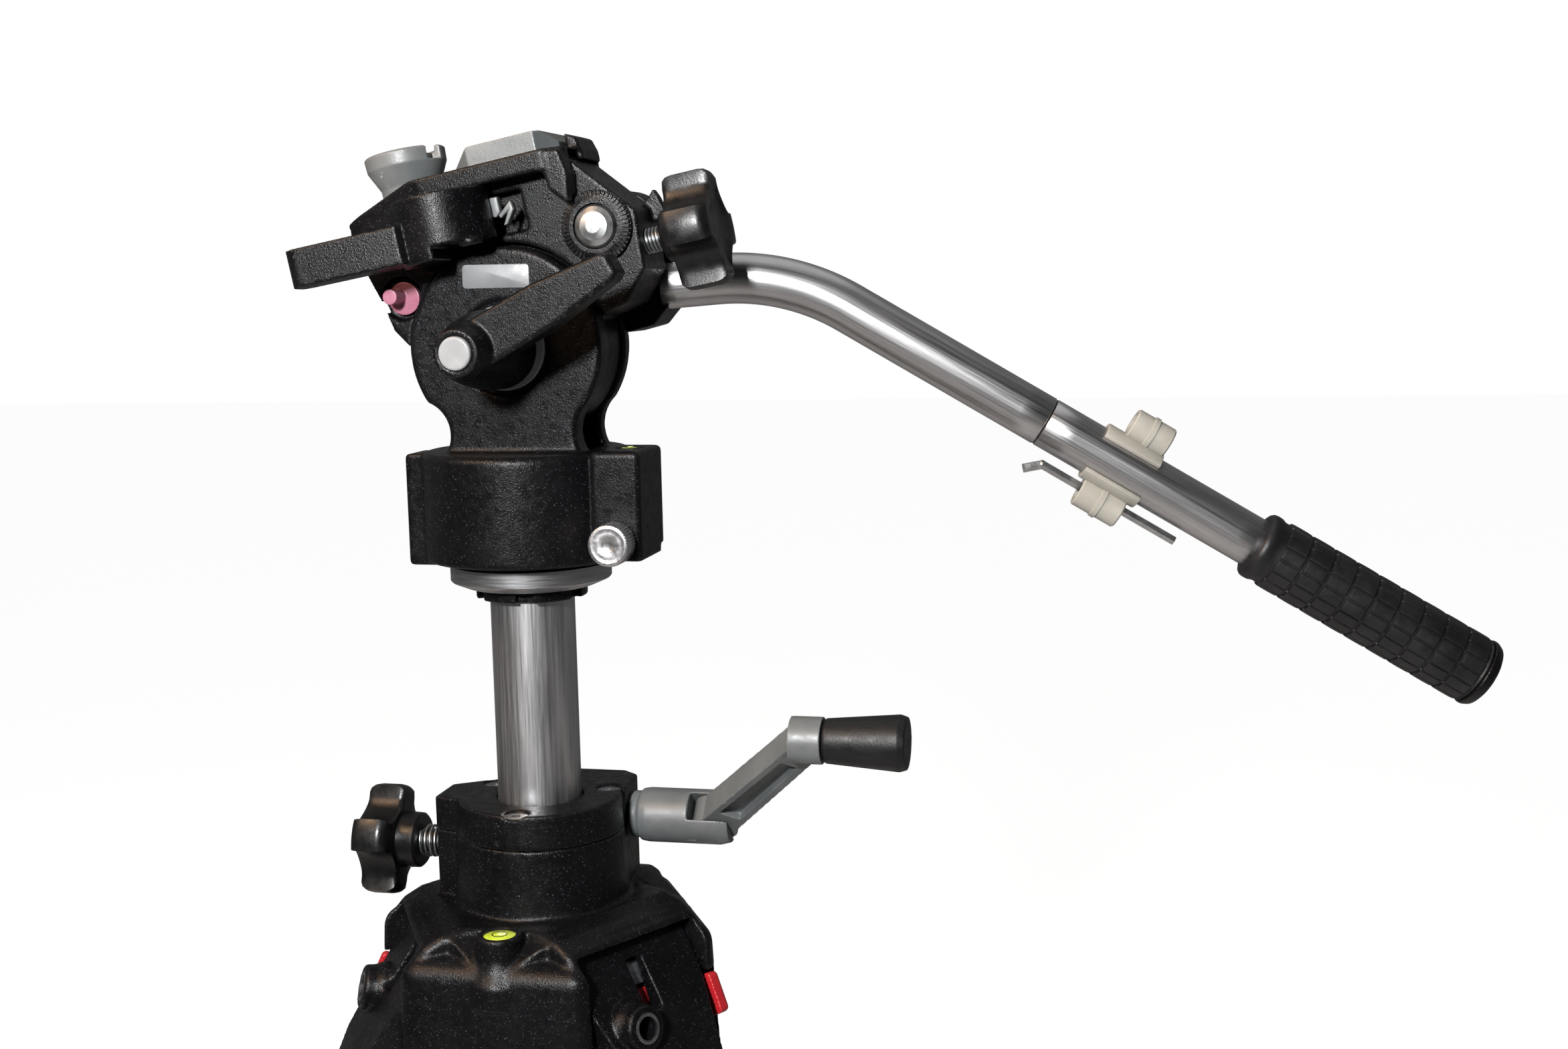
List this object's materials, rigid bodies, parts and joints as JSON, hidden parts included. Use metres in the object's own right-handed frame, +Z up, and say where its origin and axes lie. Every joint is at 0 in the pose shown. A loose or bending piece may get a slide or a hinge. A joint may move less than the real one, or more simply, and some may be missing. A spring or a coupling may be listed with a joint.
{
  "type": "tripod with fluid head",
  "caption": "Three-legged camera tripod with telescoping legs, a crank-driven geared centre column, and a fluid pan-and-tilt head with a bent pan bar",
  "frame": {"origin": "the middle of the outline seen from above, on the floor", "axes": "+Z up, +X towards the pan bar's grip, -Y towards the side with the tilt lever and the spirit level"},
  "size_m": [0.7076, 0.617, 1.0414],
  "materials": {
    "black_paint": "wrinkle-textured black powder coat",
    "black_plastic": "moulded black plastic, fine texture",
    "satin_aluminium": "satin anodised, brushed lengthwise",
    "grey_casting": "die-cast grey, satin",
    "steel": "bright zinc-plated",
    "nylon": "natural nylon",
    "ivory_plastic": "moulded ivory plastic",
    "white_plastic": "white plastic",
    "pink_plastic": "pink plastic",
    "red_plastic": "red plastic",
    "level_vial": "yellow-green fluid under a clear dome",
    "rubber": "black rubber"
  },
  "bodies": {
    "crown": {"crown_casting": "black_paint", "collar_cap": "black_paint", "cap_screws": "steel", "column_sleeve": "nylon", "spirit_level": "level_vial", "hinge_pins": "steel", "column_lock_spring": "steel"},
    "column": {"column_tube": "satin_aluminium", "column_rack": "steel", "column_foot": "black_plastic", "column_head_disc": "satin_aluminium", "head_ring": "satin_aluminium", "pan_spindle": "steel"},
    "crank": {"crank_shaft": "grey_casting", "crank_hub": "grey_casting", "crank_latch": "grey_casting"},
    "crank_arm": {"crank_arm": "grey_casting"},
    "crank_grip": {"crank_grip": "black_plastic"},
    "column_lock": {"column_lock_knob": "black_plastic"},
    "pan": {"pan_housing": "black_paint", "tilt_axle": "steel"},
    "pan_drag": {"pan_drag_knob": "satin_aluminium"},
    "lever": {"tilt_lever": "black_paint", "tilt_lever_cap": "white_plastic"},
    "tilt": {"tilt_casting": "black_paint", "platform": "black_paint", "fluid_plug": "pink_plastic", "rosette": "steel", "bar_screw": "steel", "front_post": "grey_casting"},
    "catch": {"safety_catch": "grey_casting"},
    "release": {"quick_lever": "black_paint"},
    "plate": {"camera_plate": "grey_casting"},
    "plate_screw": {"camera_screw": "steel"},
    "bar_lock": {"bar_lock_knob": "black_plastic"},
    "bar": {"bar_bracket": "black_paint", "bar_front_tube": "satin_aluminium", "bar_rear_tube": "satin_aluminium", "bar_clips": "ivory_plastic", "handle_grip": "rubber", "handle_end_cap": "black_plastic"},
    "key": {"hex_key": "steel"},
    "leg_1_upper": {"leg_1_casting": "black_paint", "leg_1_upper_tube": "satin_aluminium"},
    "leg_1_middle": {"leg_1_middle_tube": "satin_aluminium"},
    "leg_1_lower": {"leg_1_lower_tube": "satin_aluminium", "leg_1_foot": "rubber"},
    "leg_1_lever": {"leg_1_release_lever": "red_plastic"},
    "leg_2_upper": {"leg_2_casting": "black_paint", "leg_2_upper_tube": "satin_aluminium"},
    "leg_2_middle": {"leg_2_middle_tube": "satin_aluminium"},
    "leg_2_lower": {"leg_2_lower_tube": "satin_aluminium", "leg_2_foot": "rubber"},
    "leg_2_lever": {"leg_2_release_lever": "red_plastic"},
    "leg_3_upper": {"leg_3_casting": "black_paint", "leg_3_upper_tube": "satin_aluminium"},
    "leg_3_middle": {"leg_3_middle_tube": "satin_aluminium"},
    "leg_3_lower": {"leg_3_lower_tube": "satin_aluminium", "leg_3_foot": "rubber"},
    "leg_3_lever": {"leg_3_release_lever": "red_plastic"}
  },
  "joints": [
    {"name": "column_lift", "type": "slide", "parent": "crown", "child": "column", "axis": [0, 0, 1], "range_m": [-0.066, 0.22]},
    {"name": "crank_spin", "type": "hinge", "parent": "crown", "child": "crank", "pos_m": [0, -0.07551, 0.79443], "axis": [1, 0, 0], "range_deg": [-1576, 474]},
    {"name": "crank_fold", "type": "hinge", "parent": "crank", "child": "crank_arm", "pos_m": [0.06, -0.07551, 0.79443], "axis": [0, 0.6691, 0.7431], "range_deg": [0, 50]},
    {"name": "crank_grip_spin", "type": "hinge", "parent": "crank_arm", "child": "crank_grip", "pos_m": [0.104, -0.12233, 0.83658], "axis": [1, 0, 0], "continuous": true},
    {"name": "column_lock_turn", "type": "hinge", "parent": "crown", "child": "column_lock", "pos_m": [-0.046, -0.09751, 0.78763], "axis": [1, 0, 0], "range_deg": [-90, 180]},
    {"name": "pan_turn", "type": "hinge", "parent": "column", "child": "pan", "pos_m": [0, -0.09751, 0.88663], "axis": [0, 0, 1], "continuous": true},
    {"name": "pan_drag_turn", "type": "hinge", "parent": "pan", "child": "pan_drag", "pos_m": [0.04, -0.12251, 0.90303], "axis": [0, -1, 0], "range_deg": [-150, 150]},
    {"name": "lever_turn", "type": "hinge", "parent": "pan", "child": "lever", "pos_m": [0, -0.09751, 0.96863], "axis": [0, -1, 0], "range_deg": [-90, 15]},
    {"name": "head_tilt", "type": "hinge", "parent": "pan", "child": "tilt", "pos_m": [0, -0.09751, 0.96863], "axis": [0, -1, 0], "range_deg": [-40, 50]},
    {"name": "catch_press", "type": "slide", "parent": "tilt", "child": "catch", "axis": [0, 1, 0], "range_m": [0, 0.003], "stiffness_N_per_m": 400},
    {"name": "release_swing", "type": "hinge", "parent": "tilt", "child": "release", "pos_m": [-0.01742, -0.12151, 1.01108], "axis": [-0.1908, 0, 0.9816], "range_deg": [0, 60]},
    {"name": "plate_lift", "type": "slide", "parent": "tilt", "child": "plate", "axis": [-0.1908, 0, 0.9816], "range_m": [0, 0.05]},
    {"name": "camera_screw_turn", "type": "hinge", "parent": "plate", "child": "plate_screw", "pos_m": [-0.00455, -0.09751, 1.03396], "axis": [-0.1908, 0, 0.9816], "continuous": true},
    {"name": "bar_lock_turn", "type": "hinge", "parent": "tilt", "child": "bar_lock", "pos_m": [0.05409, -0.10251, 1.00481], "axis": [0.9816, 0, 0.1908], "range_deg": [-180, 180]},
    {"name": "bar_turn", "type": "hinge", "parent": "tilt", "child": "bar", "pos_m": [0.03354, -0.09751, 1.00887], "axis": [0, -1, 0], "range_deg": [-10, 10]},
    {"name": "key_slide", "type": "slide", "parent": "bar", "child": "key", "axis": [-0.8488, -0.1193, 0.515], "range_m": [0, 0.045]},
    {"name": "leg_1_spread", "type": "hinge", "parent": "crown", "child": "leg_1_upper", "pos_m": [0.03178, -0.11586, 0.73943], "axis": [0.5, 0.866, 0], "range_deg": [0, 26]},
    {"name": "leg_1_middle_slide", "type": "slide", "parent": "leg_1_upper", "child": "leg_1_middle", "axis": [0.3796, -0.2192, -0.8988], "range_m": [-0.155, 0.12]},
    {"name": "leg_1_lower_slide", "type": "slide", "parent": "leg_1_middle", "child": "leg_1_lower", "axis": [0.3796, -0.2192, -0.8988], "range_m": [-0.135, 0.14]},
    {"name": "leg_1_lever_press", "type": "slide", "parent": "leg_1_upper", "child": "leg_1_lever", "axis": [0.3796, -0.2192, -0.8988], "range_m": [0, 0.005], "stiffness_N_per_m": 400},
    {"name": "leg_2_spread", "type": "hinge", "parent": "crown", "child": "leg_2_upper", "pos_m": [0, -0.06081, 0.73943], "axis": [-1, 0, 0], "range_deg": [0, 26]},
    {"name": "leg_2_middle_slide", "type": "slide", "parent": "leg_2_upper", "child": "leg_2_middle", "axis": [0, 0.4384, -0.8988], "range_m": [-0.155, 0.12]},
    {"name": "leg_2_lower_slide", "type": "slide", "parent": "leg_2_middle", "child": "leg_2_lower", "axis": [0, 0.4384, -0.8988], "range_m": [-0.135, 0.14]},
    {"name": "leg_2_lever_press", "type": "slide", "parent": "leg_2_upper", "child": "leg_2_lever", "axis": [0, 0.4384, -0.8988], "range_m": [0, 0.005], "stiffness_N_per_m": 400},
    {"name": "leg_3_spread", "type": "hinge", "parent": "crown", "child": "leg_3_upper", "pos_m": [-0.03178, -0.11586, 0.73943], "axis": [0.5, -0.866, 0], "range_deg": [0, 26]},
    {"name": "leg_3_middle_slide", "type": "slide", "parent": "leg_3_upper", "child": "leg_3_middle", "axis": [-0.3796, -0.2192, -0.8988], "range_m": [-0.155, 0.12]},
    {"name": "leg_3_lower_slide", "type": "slide", "parent": "leg_3_middle", "child": "leg_3_lower", "axis": [-0.3796, -0.2192, -0.8988], "range_m": [-0.135, 0.14]},
    {"name": "leg_3_lever_press", "type": "slide", "parent": "leg_3_upper", "child": "leg_3_lever", "axis": [-0.3796, -0.2192, -0.8988], "range_m": [0, 0.005], "stiffness_N_per_m": 400}
  ],
  "couplings": [
    {"joint": "crank_spin", "follows": "column_lift", "rad_per_m": -125}
  ]
}
